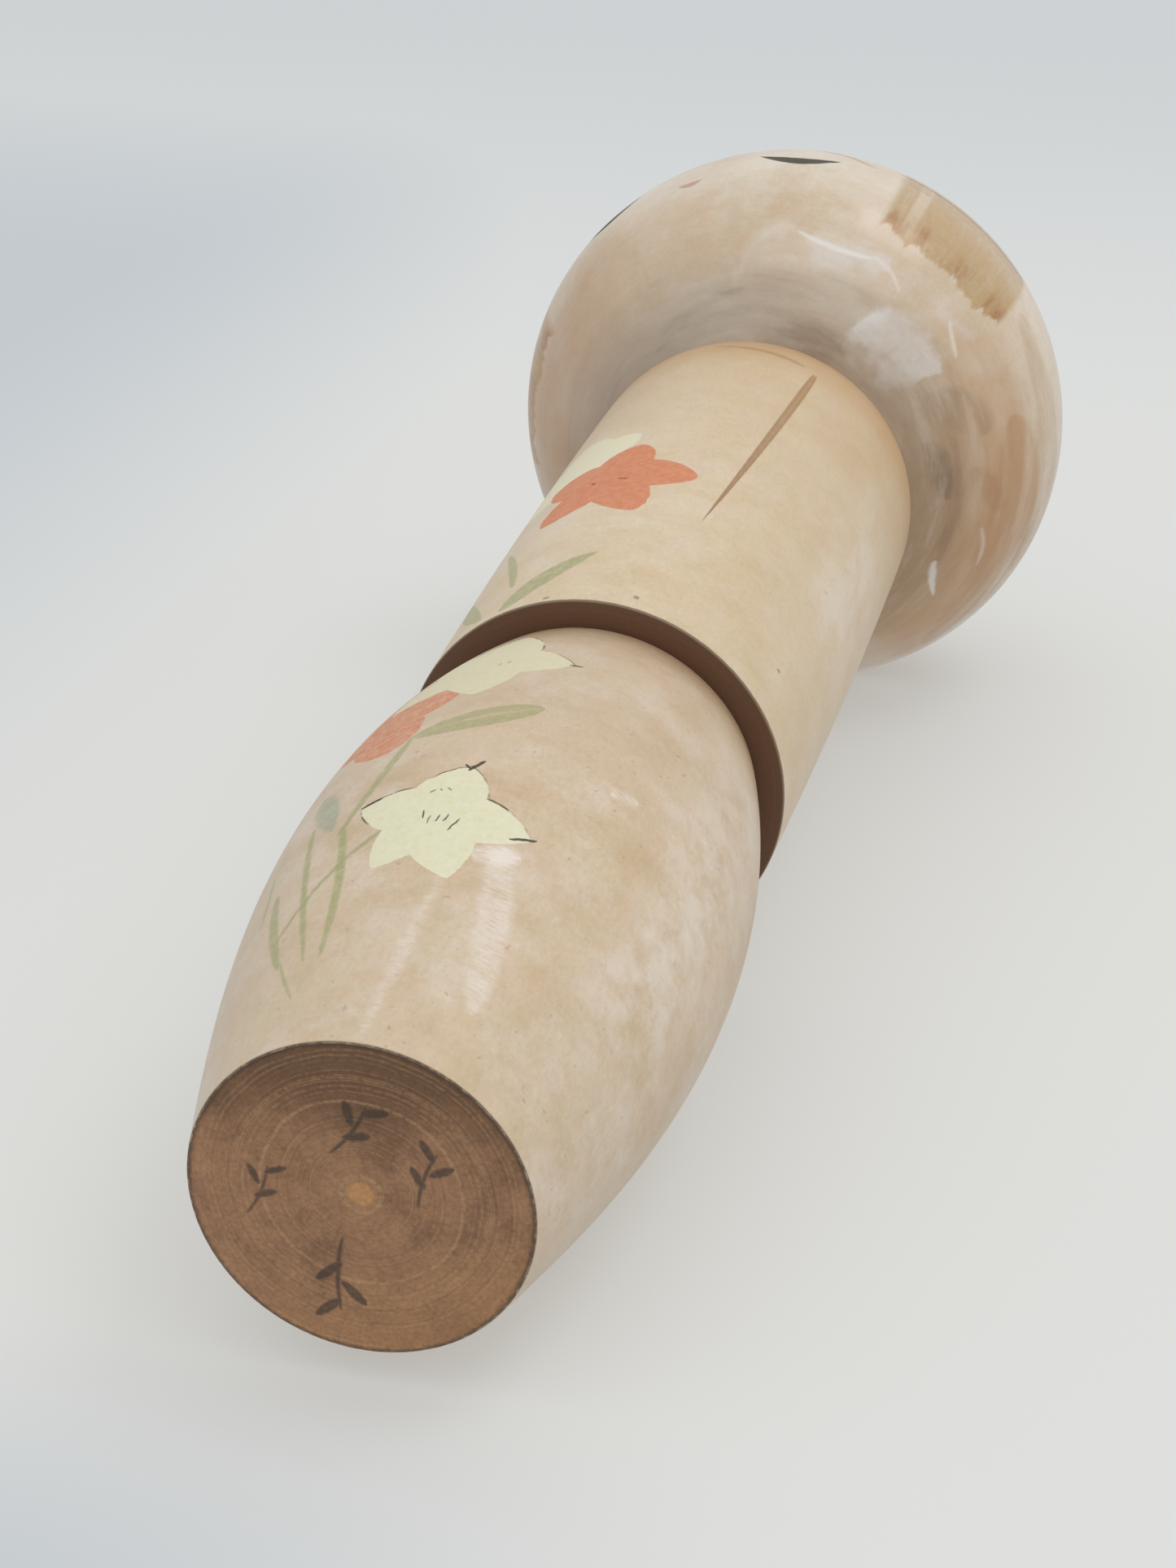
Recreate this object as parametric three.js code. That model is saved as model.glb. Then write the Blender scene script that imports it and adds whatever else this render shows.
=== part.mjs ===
// Turned wooden kokeshi doll: a barrel-shaped lower body, a wider straight upper body that
// overhangs it, and a broad ball head that turns on its neck peg.
// Millimetres, +Z up, the face looks towards -Y, the origin is the centre of the base face.
// Every piece is turned about the Z axis, so each one is a single lathe profile.

import * as THREE from 'three';

// Lower body: a barrel on a flat base.
const BASE_RADIUS = 21.5;
const BASE_EDGE = 0.5; // broken edge round the base
const WAIST_HEIGHT = 113.1; // top of the lower body, where the upper body starts
const WAIST_RADIUS = 24.3;
const BELLY = 7.46; // swell of the barrel beyond a straight cone, at mid height
const BELLY_TILT = 1.29; // shifts the swell upwards
const BELLY_FULLNESS = 0.56; // flattens the top of the swell

// Upper body: an almost straight cylinder with a rolled shoulder.
const STEP_RADIUS = 28.2; // lower rim, which overhangs the lower body
const SHOULDER_RADIUS = 28.5;
const UPPER_SWELL = 0.56;
const STEP_EDGE = 0.7; // broken edge round the overhanging rim
const SHOULDER_HEIGHT = 222.5; // where the side starts to roll in
const COLLAR_RADIUS = 21; // flat top that the head sits on
const COLLAR_HEIGHT = 234.2;

// Head: a broad ball, flatter below its widest line than above it.
const HEAD_RADIUS = 49;
const HEAD_EQUATOR = 265;
const HEAD_DEPTH = 32.7; // from the widest line down to where the ball would close
const HEAD_RISE = 40.2; // from the widest line up to the crown
const HEAD_FULLNESS = 2.1; // exponent of the profile: 2 is an ellipse, more is squarer

// Hidden joints: a glued dowel at the waist and the peg that the head turns on.
const DOWEL_RADIUS = 9;
const DOWEL_REACH = 17.8; // into each body block
const PEG_RADIUS = 7.5;
const PEG_REACH_DOWN = 20.4; // into the upper body
const PEG_REACH_UP = 18.7; // into the head
const PEG_EDGE = 1; // broken edges of dowel and peg

const CLEARANCE = 0.3; // between pieces that meet
const TURNED_SIDES = 48;
const PEG_SIDES = 24;

const SEAT_HEIGHT = COLLAR_HEIGHT + CLEARANCE;
const STEP_HEIGHT = WAIST_HEIGHT + CLEARANCE;

const point = (radius, height) => new THREE.Vector2(radius, height);

// Points of a curve given as a function of 0..1, both ends included.
function sample(curve, steps) {
  return Array.from({ length: steps + 1 }, (_, i) => curve(i / steps));
}

// A solid of revolution about +Z from a profile that starts and ends on the axis.
function turned(name, profile, material, sides = TURNED_SIDES) {
  const geometry = new THREE.LatheGeometry(profile, sides);
  geometry.rotateX(Math.PI / 2);
  const mesh = new THREE.Mesh(geometry, material);
  mesh.name = name;
  return mesh;
}

// Side of the barrel: a straight cone from base to waist plus a swell s = 4u(1-u),
// tilted upwards and filled out by its square.
function barrelSide(u) {
  const cone = THREE.MathUtils.lerp(BASE_RADIUS, WAIST_RADIUS, u);
  const swell = 4 * u * (1 - u);
  const bulge = swell * (BELLY - BELLY_TILT * (1 - 2 * u)) + BELLY_FULLNESS * swell ** 2;
  const height = THREE.MathUtils.lerp(BASE_EDGE, WAIST_HEIGHT, u);
  return point(cone + bulge, height);
}

function upperSide(u) {
  const swell = 4 * u * (1 - u);
  const radius = THREE.MathUtils.lerp(STEP_RADIUS, SHOULDER_RADIUS, u) + UPPER_SWELL * swell;
  const height = THREE.MathUtils.lerp(STEP_HEIGHT + STEP_EDGE, SHOULDER_HEIGHT, u);
  return point(radius, height);
}

// A quarter of an ellipse that rolls the shoulder in to the collar.
function shoulderRoll(u) {
  const angle = (u * Math.PI) / 2;
  const inset = SHOULDER_RADIUS - COLLAR_RADIUS;
  const rise = COLLAR_HEIGHT - SHOULDER_HEIGHT;
  const radius = COLLAR_RADIUS + inset * Math.cos(angle);
  return point(radius, SHOULDER_HEIGHT + rise * Math.sin(angle));
}

// Point of the head's outline at an angle above (+) or below (-) its widest line.
function headOutline(angle) {
  const power = 2 / HEAD_FULLNESS;
  const reach = angle < 0 ? HEAD_DEPTH : HEAD_RISE;
  const radius = HEAD_RADIUS * Math.max(Math.cos(angle), 0) ** power;
  const height = Math.sign(angle) * reach * Math.abs(Math.sin(angle)) ** power;
  return point(radius, HEAD_EQUATOR + height);
}

// Angle below the widest line at which the outline meets the flat seat.
function seatAngle() {
  const drop = (HEAD_EQUATOR - SEAT_HEIGHT) / HEAD_DEPTH;
  return -Math.asin(drop ** (HEAD_FULLNESS / 2));
}

// Profile of a blind hole that opens upwards at the given rim height.
function holeDown(radius, rim, depth) {
  return [point(radius, rim), point(radius, rim - depth), point(0, rim - depth)];
}

// Profile of a blind hole that opens downwards at the given rim height.
function holeUp(radius, rim, depth) {
  return [point(0, rim + depth), point(radius, rim + depth), point(radius, rim)];
}

function lowerBody(material) {
  const foot = [point(0, 0), point(BASE_RADIUS - BASE_EDGE, 0)];
  const side = sample(barrelSide, 24);
  const socket = holeDown(DOWEL_RADIUS + CLEARANCE, WAIST_HEIGHT, DOWEL_REACH + CLEARANCE);
  return turned('lower_body', [...foot, ...side, ...socket], material);
}

function upperBody(material) {
  const waistSocket = holeUp(DOWEL_RADIUS + CLEARANCE, STEP_HEIGHT, DOWEL_REACH + CLEARANCE);
  const rim = [point(STEP_RADIUS - STEP_EDGE, STEP_HEIGHT)];
  const side = sample(upperSide, 10);
  const roll = sample(shoulderRoll, 8).slice(1);
  const neckSocket = holeDown(PEG_RADIUS + CLEARANCE, COLLAR_HEIGHT, PEG_REACH_DOWN + CLEARANCE);
  return turned('upper_body', [...waistSocket, ...rim, ...side, ...roll, ...neckSocket], material);
}

function head(material) {
  const socket = holeUp(PEG_RADIUS + CLEARANCE, SEAT_HEIGHT, PEG_REACH_UP + CLEARANCE);
  const start = seatAngle();
  const below = sample((u) => headOutline(start * (1 - u)), 12);
  const above = sample((u) => headOutline((u * Math.PI) / 2), 16).slice(1, -1);
  const crown = [point(0, HEAD_EQUATOR + HEAD_RISE)];
  return turned('head', [...socket, ...below, ...above, ...crown], material);
}

// A round peg with broken edges, between two heights.
function peg(name, radius, bottom, top, material) {
  const profile = [
    point(0, bottom),
    point(radius - PEG_EDGE, bottom),
    point(radius, bottom + PEG_EDGE),
    point(radius, top - PEG_EDGE),
    point(radius - PEG_EDGE, top),
    point(0, top),
  ];
  return turned(name, profile, material, PEG_SIDES);
}

const paleWood = new THREE.MeshStandardMaterial({ color: 0xd2bfa0, roughness: 0.45, metalness: 0 });
const creamWood = new THREE.MeshStandardMaterial({ color: 0xdac9a8, roughness: 0.45, metalness: 0 });
const headWood = new THREE.MeshStandardMaterial({ color: 0xd5bf9f, roughness: 0.35, metalness: 0 });
const pegWood = new THREE.MeshStandardMaterial({ color: 0xb8915f, roughness: 0.7, metalness: 0 });

const doll = new THREE.Group();
doll.add(lowerBody(paleWood));
doll.add(upperBody(creamWood));
doll.add(head(headWood));

const dowelBottom = WAIST_HEIGHT - DOWEL_REACH;
const dowelTop = STEP_HEIGHT + DOWEL_REACH;
doll.add(peg('waist_dowel', DOWEL_RADIUS, dowelBottom, dowelTop, pegWood));

const pegBottom = COLLAR_HEIGHT - PEG_REACH_DOWN;
const pegTop = SEAT_HEIGHT + PEG_REACH_UP;
doll.add(peg('neck_peg', PEG_RADIUS, pegBottom, pegTop, pegWood));

export default doll;
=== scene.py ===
import math

import bpy
import numpy as np
from bpy.props import FloatProperty, FloatVectorProperty, IntProperty, PointerProperty
from mathutils import Matrix, Vector


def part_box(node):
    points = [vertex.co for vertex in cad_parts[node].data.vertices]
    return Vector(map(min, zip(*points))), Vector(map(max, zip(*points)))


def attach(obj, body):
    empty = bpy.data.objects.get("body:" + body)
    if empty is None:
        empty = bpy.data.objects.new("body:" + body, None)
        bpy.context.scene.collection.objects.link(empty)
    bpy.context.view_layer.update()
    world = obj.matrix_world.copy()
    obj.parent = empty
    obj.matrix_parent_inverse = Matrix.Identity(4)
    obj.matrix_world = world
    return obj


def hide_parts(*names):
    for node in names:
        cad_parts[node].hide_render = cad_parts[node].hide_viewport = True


bl_info = {
    "name": "Kokeshi Doll",
    "version": (1, 0, 0),
    "blender": (4, 5, 0),
    "location": "3D View > Sidebar > Kokeshi",
    "description": "Turned and painted wooden kokeshi doll, built round its packed frame",
    "category": "Add Mesh",
}

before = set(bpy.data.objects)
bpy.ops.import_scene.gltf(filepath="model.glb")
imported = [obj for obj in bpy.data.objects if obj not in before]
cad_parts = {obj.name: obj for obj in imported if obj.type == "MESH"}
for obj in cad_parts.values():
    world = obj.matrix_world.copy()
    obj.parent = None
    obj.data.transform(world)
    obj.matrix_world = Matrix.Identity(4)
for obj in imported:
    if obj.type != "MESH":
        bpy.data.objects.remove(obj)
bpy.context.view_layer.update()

MM = 0.001
WAIST_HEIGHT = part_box("lower_body")[1].z
STEP_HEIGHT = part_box("upper_body")[0].z
COLLAR_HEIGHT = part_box("upper_body")[1].z
SEAT_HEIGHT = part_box("head")[0].z
CROWN_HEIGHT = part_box("head")[1].z
HEAD_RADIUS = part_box("head")[1].x
DOWEL_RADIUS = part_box("waist_dowel")[1].x
DOWEL_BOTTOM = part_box("waist_dowel")[0].z
DOWEL_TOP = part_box("waist_dowel")[1].z
PEG_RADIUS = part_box("neck_peg")[1].x
PEG_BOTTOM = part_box("neck_peg")[0].z
PEG_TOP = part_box("neck_peg")[1].z
SOCKET_GAP = STEP_HEIGHT - WAIST_HEIGHT
SKIN = 0.01 * MM  # faces this near a flat belong to it
WALL_SLACK = 1.01  # faces within this share of a socket's radius belong to the socket
SAME_POINT = 1e-7
SHARP_EDGE = math.radians(40)


def tone(code):
    """Linear colour of a six-digit screen colour."""
    screen = [int(code[i : i + 2], 16) / 255 for i in (0, 2, 4)]
    return tuple(((c + 0.055) / 1.055) ** 2.4 if c > 0.04 else c / 12.92 for c in screen)


def length(name, description, size):
    """A length setting, given in mm and kept in metres."""
    return FloatProperty(
        name=name, description=description, default=size * MM, unit="LENGTH", precision=5
    )


def colour(name, description, code):
    """A colour setting, given as a screen colour."""
    return FloatVectorProperty(
        name=name, description=description, default=tone(code), subtype="COLOR", min=0, max=1
    )


class KokeshiSizes(bpy.types.PropertyGroup):
    base_radius: length("Base radius", "Radius of the flat foot", 21.5)
    base_edge: length("Base edge", "Rounding of the foot's rim", 0.5)
    waist_radius: length("Waist radius", "Radius of the barrel's top", 24.3)
    belly: length("Belly", "Swell of the barrel beyond a cone", 7.46)
    belly_tilt: length("Belly tilt", "Shifts the swell upwards", 1.29)
    belly_fullness: length("Belly fullness", "Flattens the top of the swell", 0.56)
    step_radius: length("Step radius", "Lower rim of the upper body", 28.2)
    step_edge: length("Step edge", "Rounding of that rim", 0.3)
    shoulder_radius: length("Shoulder radius", "Radius where the shoulder starts", 28.5)
    shoulder_height: length("Shoulder height", "Height where the side rolls in", 222.5)
    upper_swell: length("Upper swell", "Swell of the upper body", 0.56)
    collar_radius: length("Collar radius", "Flat that the head sits on", 21)
    head_equator: length("Head widest line", "Height of the widest line", 265)
    head_depth: length("Head depth", "From the widest line down to a closed ball", 32.7)
    head_fullness: FloatProperty(
        name="Head fullness",
        description="Exponent of the head's outline, 2 for an ellipse",
        default=2.1,
        min=1.5,
        max=4,
    )
    turns: IntProperty(
        name="Steps round", description="Steps round each turned piece", default=288, min=48
    )


class KokeshiColours(bpy.types.PropertyGroup):
    barrel_wood: colour("Barrel wood", "Ground of the lower body", "CFBB9B")
    barrel_deep: colour("Barrel deep", "Darker mottle of the lower body", "C3A77E")
    rosy: colour("Rosy wood", "Pinkish blotches in the wood", "D7BCA2")
    bloom: colour("Bloom", "Milky patches in the coat", "E0D5C7")
    upper_wood: colour("Upper wood", "Ground of the upper body", "DAC7A5")
    upper_deep: colour("Upper deep", "Darker mottle of the upper body", "CEB589")
    head_wood: colour("Head wood", "Ground of the head", "DDD3C0")
    head_deep: colour("Head deep", "Warm bands of the head", "C8AE8C")
    foot: colour("Foot", "Brown end grain of the foot", "9E7555")
    foot_deep: colour("Foot deep", "Darker end grain", "66482F")
    foot_pale: colour("Foot pale", "Growth lines and pith", "B89468")
    underside: colour("Underside", "Stained underside of the upper body", "64452F")
    bare: colour("Bare wood", "Uncoated wood of pegs and sockets", "B8915F")
    cream_paint: colour("Cream paint", "Pale flowers", "E6E4C6")
    coral_paint: colour("Coral paint", "Red flowers", "D2794F")
    leaf_paint: colour("Leaf paint", "Leaves and stems", "989A58")
    bud_paint: colour("Bud paint", "Blue green buds", "8C9C7E")
    ink: colour("Ink", "Outlines and ticks", "140A04")
    hair: colour("Hair stain", "Translucent amber hair", "A87C18")
    eye: colour("Eye ink", "Green black of the eyes", "161C10")
    mouth: colour("Mouth", "Red of the mouth", "B8625A")
    gouge: colour("Gouge", "Bare wood in the gouge", "A07238")


# ---------------------------------------------------------------- turned surfaces


def arc(centre, radius, start, end, steps):
    """Profile points on a circle, from one angle to another in degrees, 0 outwards, 90 up."""
    angles = np.radians(np.linspace(start, end, steps))
    return np.column_stack(
        [centre[0] + radius * np.cos(angles), centre[1] + radius * np.sin(angles)]
    )


def line(start, end, steps):
    """Profile points on a straight line, both ends included."""
    return np.linspace(np.array(start, float), np.array(end, float), steps)


def joined(*stretches):
    """One profile from stretches that follow each other; points that repeat are dropped."""
    points = np.vstack(stretches)
    moved = np.hypot(*np.diff(points, axis=0).T) > SAME_POINT
    return points[np.concatenate([[True], moved])]


def hole(radius, rim, end):
    """A blind hole from its rim to its flat end on the axis."""
    return joined(line((radius, rim), (radius, end), 6), line((radius, end), (0, end), 4))


def steps_round(count, fine_from=0.0, fine_to=0.0, fine_count=0):
    """Angles round the axis in radians, evenly spaced, with extra ones between two turns."""
    even = np.linspace(-math.pi, math.pi, count, endpoint=False)
    fine = np.linspace(fine_from, fine_to, fine_count)
    return np.unique(np.round(np.concatenate([even, fine]), 6))


def shown(name, vertices, faces):
    """A mesh object in the scene."""
    mesh = bpy.data.meshes.new(name)
    mesh.from_pydata(vertices, [], faces)
    mesh.update()
    piece = bpy.data.objects.new(name, mesh)
    bpy.context.scene.collection.objects.link(piece)
    return piece


def turned(name, profile, turns, cut=None):
    """Closed surface of revolution. Point (i, j) is (r sin t, -r cos t, z) for profile point
    (r, z) number i and turn t number j, so t is 0 at the face and grows towards +X. The first
    and last profile points lie on the axis. cut(t, z, r) is a depth taken off the radius."""
    ring = profile[1:-1]
    radius, turn = np.meshgrid(ring[:, 0], turns, indexing="ij")
    height = np.repeat(ring[:, 1:2], len(turns), axis=1)
    if cut is not None:
        radius = radius - cut(turn, height, radius)
    points = np.stack([radius * np.sin(turn), -radius * np.cos(turn), height], axis=-1)
    rings, columns = radius.shape
    ends = np.array([[0, 0, profile[0, 1]], [0, 0, profile[-1, 1]]])
    vertices = np.vstack([points.reshape(-1, 3), ends])
    index = np.arange(rings * columns).reshape(rings, columns)
    after = np.roll(index, -1, axis=1)
    quads = np.stack([index[:-1], after[:-1], after[1:], index[1:]], axis=-1).reshape(-1, 4)
    low = np.full(columns, rings * columns)
    bottom = np.stack([low, after[0], index[0]], axis=-1)
    top = np.stack([low + 1, index[-1], after[-1]], axis=-1)
    piece = shown(name, vertices, quads.tolist() + bottom.tolist() + top.tolist())
    piece.data.shade_smooth()
    piece.data.set_sharp_from_angle(angle=SHARP_EDGE)
    return piece


def finish_faces(piece, materials, choose):
    """Gives every face the material number that choose returns for its radius and height."""
    mesh = piece.data
    for material in materials:
        mesh.materials.append(material)
    centres = np.empty(len(mesh.polygons) * 3)
    mesh.polygons.foreach_get("center", centres)
    x, y, height = centres.reshape(-1, 3).T
    chosen = choose(np.hypot(x, y), height)
    mesh.polygons.foreach_set("material_index", chosen.astype(np.int32))
    mesh.update()


def in_place(piece, node, body):
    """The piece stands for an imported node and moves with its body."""
    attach(piece, body)
    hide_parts(node)


# ---------------------------------------------------------------- shader arithmetic


class Wire:
    """One socket in a material's nodes. Arithmetic on it adds Math nodes."""

    def __init__(self, tree, socket=None):
        self.tree = tree
        self.socket = socket

    def add(self, kind, settings=None, inputs=None, output=0):
        """Adds a node of a kind: its settings first, then its sockets as values or wires."""
        node = self.tree.nodes.new(kind)
        for name, value in (settings or {}).items():
            setattr(node, name, value)
        for key, value in (inputs or {}).items():
            if isinstance(value, Wire):
                self.tree.links.new(value.socket, node.inputs[key])
            else:
                node.inputs[key].default_value = value
        return Wire(self.tree, node.outputs[output])

    def also(self, output):
        """Another output of the node that this wire comes from."""
        return Wire(self.tree, self.socket.node.outputs[output])

    def math(self, operation, *values, clamp=False):
        settings = {"operation": operation, "use_clamp": clamp}
        return self.add("ShaderNodeMath", settings, dict(enumerate(values)))

    def __add__(self, other):
        return self.math("ADD", self, other)

    def __radd__(self, other):
        return self.math("ADD", other, self)

    def __sub__(self, other):
        return self.math("SUBTRACT", self, other)

    def __rsub__(self, other):
        return self.math("SUBTRACT", other, self)

    def __mul__(self, other):
        return self.math("MULTIPLY", self, other)

    def __rmul__(self, other):
        return self.math("MULTIPLY", other, self)

    def __truediv__(self, other):
        return self.math("DIVIDE", self, other)

    def __pow__(self, other):
        return self.math("POWER", self, other)

    def __abs__(self):
        return self.math("ABSOLUTE", self)

    def most(self, other):
        return self.math("MAXIMUM", self, other)

    def least(self, other):
        return self.math("MINIMUM", self, other)

    def rise(self, low, high):
        """0 below low, 1 above high and a smooth step between; low above high falls instead."""
        settings = {"interpolation_type": "SMOOTHSTEP"}
        return self.add("ShaderNodeMapRange", settings, {0: self, 1: low, 2: high})


def mixed(below, above, amount):
    """Colour below covered by colour above: wires, three numbers or screen colours."""
    wire = next(c for c in (amount, below, above) if isinstance(c, Wire))
    (below, above) = [tone(c) if isinstance(c, str) else c for c in (below, above)]
    sides = [c if isinstance(c, Wire) else (*c, 1) for c in (below, above)]
    settings = {"data_type": "RGBA"}
    return wire.add("ShaderNodeMix", settings, {0: amount, 6: sides[0], 7: sides[1]}, 2)


def shaded(colour, factor):
    """Colour times a number."""
    inputs = {0: colour, "Scale": factor}
    return factor.add("ShaderNodeVectorMath", {"operation": "SCALE"}, inputs)


class Ground:
    """Where a shader point is on a turned piece, in millimetres, and noise laid out there."""

    def __init__(self, tree):
        start = Wire(tree)
        place = start.add("ShaderNodeTexCoord", output="Object")
        inputs = {0: place, "Scale": 1 / MM}
        self.place = start.add("ShaderNodeVectorMath", {"operation": "SCALE"}, inputs)
        self.x = start.add("ShaderNodeSeparateXYZ", inputs={0: self.place})
        self.y = self.x.also(1)
        self.z = self.x.also(2)
        self.turn = self.x.math("ARCTAN2", self.x, self.y * -1)
        self.radius = (self.x * self.x + self.y * self.y) ** 0.5

    def noise(self, size, detail=3.0, roughness=0.5, stretch=(1, 1, 1), shift=0.0, **more):
        """Noise about 0.5 with features of a size in mm; stretch lengthens them by axis."""
        per_mm = tuple(1 / (size * s) for s in stretch)
        settings = {"operation": "MULTIPLY_ADD"}
        inputs = {0: self.place, 1: per_mm, 2: (shift, shift * 0.7, shift * 1.3)}
        place = self.x.add("ShaderNodeVectorMath", settings, inputs)
        inputs = {"Vector": place, "Scale": 1.0, "Detail": detail, "Roughness": roughness, **more}
        return self.x.add("ShaderNodeTexNoise", {"normalize": True}, inputs)

    def brush(self, size):
        """The streaks of a brush of hairs of a size in mm."""
        return self.noise(size, detail=4, roughness=0.65, shift=9)

    def rings(self, distance, per_mm):
        """Noise in rings, which changes only with a distance in mm."""
        settings = {"noise_dimensions": "1D"}
        inputs = {"W": distance * per_mm, "Scale": 1.0, "Detail": 3.0, "Roughness": 0.6}
        return self.x.add("ShaderNodeTexNoise", settings, inputs)

    def unrolled(self, reach, size, sideways, upwards):
        """The side unrolled to mm round at a radius reach and mm up, shaken by a noise of a
        size as a hand shakes. Returns the design and the noise, about 0."""
        wobble = self.noise(size, detail=3, shift=5) - 0.5
        x = self.turn * reach + wobble * sideways
        return Design(x, self.z - wobble * upwards, reach), wobble

    def strands(self, width, length, reach, shift=0.0):
        """Noise drawn out in streaks from the top down the sides, in mm at a radius reach."""
        per_turn = reach / width
        inputs = {0: self.x / self.radius * per_turn, 1: self.y / self.radius * per_turn}
        inputs[2] = self.z / length + shift
        place = self.x.add("ShaderNodeCombineXYZ", inputs=inputs)
        inputs = {"Vector": place, "Scale": 1.0, "Detail": 4.0, "Roughness": 0.6}
        return self.x.add("ShaderNodeTexNoise", {"normalize": True}, inputs)


def new_finish(name, roughness, coat, coat_roughness):
    """An empty material with a wood shader: returns it, its shader node and its ground."""
    material = bpy.data.materials.new(name)
    material.use_nodes = True
    tree = material.node_tree
    tree.nodes.clear()
    shader = tree.nodes.new("ShaderNodeBsdfPrincipled")
    shader.inputs["Roughness"].default_value = roughness
    shader.inputs["Coat Weight"].default_value = coat
    shader.inputs["Coat Roughness"].default_value = coat_roughness
    output = tree.nodes.new("ShaderNodeOutputMaterial")
    tree.links.new(shader.outputs[0], output.inputs[0])
    return material, shader, Ground(tree)


def plug(shader, **wires):
    """Links wires to the shader's sockets, named with _ for a space."""
    for name, wire in wires.items():
        wire.tree.links.new(wire.socket, shader.inputs[name.replace("_", " ")])


def bumped(shader, height, depth):
    """Height in 0 to 1 becomes a bump that is depth metres deep."""
    bump = height.add("ShaderNodeBump", inputs={"Height": height, "Distance": depth})
    plug(shader, Normal=bump)


# ---------------------------------------------------------------- brush work


def stroke(x, y, start, end, half_width, bend=0.0, heel=0.5, toe=0.8):
    """How far inside a brush stroke a point is, in mm, positive inside. t runs 0 to 1 from
    start to end, the middle line bows sideways by bend * 4t(1 - t), and the half width is
    half_width * t^heel (1 - t)^toe, scaled so that its peak is half_width."""
    run, climb = end[0] - start[0], end[1] - start[1]
    span = math.hypot(run, climb)
    along = x * (run / span**2) + y * (climb / span**2)
    along = along - (start[0] * run + start[1] * climb) / span**2
    t = along.math("ADD", along, 0.0, clamp=True)
    beyond = abs(along - t) * span
    across = y * (run / span) - x * (climb / span)
    across = across - (start[1] * run - start[0] * climb) / span
    rest = 1 - t
    if bend:
        across = across - t * rest * (4 * bend)
    total = heel + toe
    peak = (heel / total) ** heel * (toe / total) ** toe
    width = t**heel * rest**toe * (half_width / peak)
    return width - abs(across) - beyond


def leaf_sprig(x, y, foot, tip, half_width, side):
    """An ink sprig: a bowed stem with two leaf dabs on one side and one on the other."""
    run, climb = tip[0] - foot[0], tip[1] - foot[1]
    inside = stroke(x, y, foot, tip, half_width * 0.45, bend=0.5 * side, heel=0.3, toe=0.3)
    for share, way in ((0.35, 1), (0.6, -1), (0.85, 1)):
        root = (foot[0] + run * share, foot[1] + climb * share)
        lean = (run * 0.28 - climb * 0.3 * way * side, climb * 0.28 + run * 0.3 * way * side)
        end = (root[0] + lean[0], root[1] + lean[1])
        inside = inside.most(stroke(x, y, root, end, half_width, heel=0.5, toe=0.5))
    return inside


def in_mm(place, reach):
    """A place in degrees round and mm up, as mm round at a radius reach and mm up."""
    return math.radians(place[0]) * reach, place[1]


class Design:
    """Brush work on a turned side, unrolled to x mm round at a radius reach and y mm up. Its
    places are degrees round and mm up."""

    def __init__(self, x, y, reach):
        self.x = x
        self.y = y
        self.reach = reach

    def stroke(self, start, end, *shape, **ends):
        """A stroke between two places."""
        start, end = in_mm(start, self.reach), in_mm(end, self.reach)
        return stroke(self.x, self.y, start, end, *shape, **ends)

    def flower(self, centre, tips, toe=0.64):
        """Five broad petals: the furthest inside of one stroke to each tip, that starts a
        little behind the centre. A tip is degrees round, mm up and half width."""
        inside = None
        for *tip, half_width in tips:
            root = [c * 1.1 - t * 0.1 for c, t in zip(centre, tip)]
            petal = self.stroke(root, tip, half_width, toe=toe)
            inside = petal if inside is None else inside.most(petal)
        return inside


# ---------------------------------------------------------------- finishes

BARREL_ROUND = 30.5  # mm, radius that turns degrees into mm for the flowers on the barrel
UPPER_ROUND = 28.8
HEAD_ROUND = 49.0
BODY_COAT = 0.45  # weight of the clear coat on the two body blocks
HEAD_COAT = 0.65
BARE = "bare_wood"

# Flower centres and petal tips: degrees round, mm up and half width in mm.
CREAM_LOW = (17, 42.5)
CREAM_LOW_TIPS = [(20.5, 53.6, 5.3), (42, 41, 4.9), (27.5, 29.6, 4.9), (7, 31, 4.3), (-3.5, 45.4, 5)]
CREAM_HIGH = (5, 90)
CREAM_HIGH_TIPS = [(4.5, 106.4, 6.3), (29, 89.6, 5.7), (9, 76, 5.5), (-18, 80, 5.6), (-15, 99, 5.8)]
CORAL_LOW = (-13, 73)
CORAL_LOW_TIPS = [(4, 79, 4.8), (-5.5, 60.8, 5.4), (-27, 69, 4.6), (-31, 84, 5.2), (-12, 87, 5)]
CORAL_HIGH = (3, 162)
CORAL_HIGH_TIPS = [(7.5, 175.6, 5), (31, 162.6, 5.7), (18, 147, 4.7), (-13.5, 149, 5), (-20, 167.6, 5.7)]
CREAM_TOP = (-13, 175)
CREAM_TOP_TIPS = [(4, 181.5, 5.4), (-20, 188, 5.6), (-38, 180, 5.4), (-32, 164, 5.4), (-8, 163, 5)]

GOUGE = ((47.5, 219), (39, 148))  # top and tip of the gouge: degrees round, mm up
GOUGE_STEPS = (math.radians(36), math.radians(50.5), 110)  # finer steps round, across it
GOUGE_BEND = 0.35  # mm, bow of the gouge to one side
GOUGE_DEPTH = 0.4 * MM
GOUGE_HALF_WIDTH = 0.75
GOUGE_ENDS = (0.22, 0.75)  # how fast it widens from the top and narrows to the tip
GOUGE_FILL = 0.68  # a little over the peak of those two powers, so the stain covers the cut
PITH = (0.6, -0.9)  # mm, off the axis
INK_SPRIGS = [  # foot, tip, half width of a leaf dab and the side the stem bows to
    ((-1.0, -6.9), (6.0, -11.6), 0.6, 1),
    ((6.6, 2.6), (11.8, -3.6), 0.55, -1),
    ((-4.2, 4.2), (-8.6, 13.6), 0.65, 1),
    ((-14.4, -1.8), (-9.2, -7.2), 0.45, 1),
]


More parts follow.
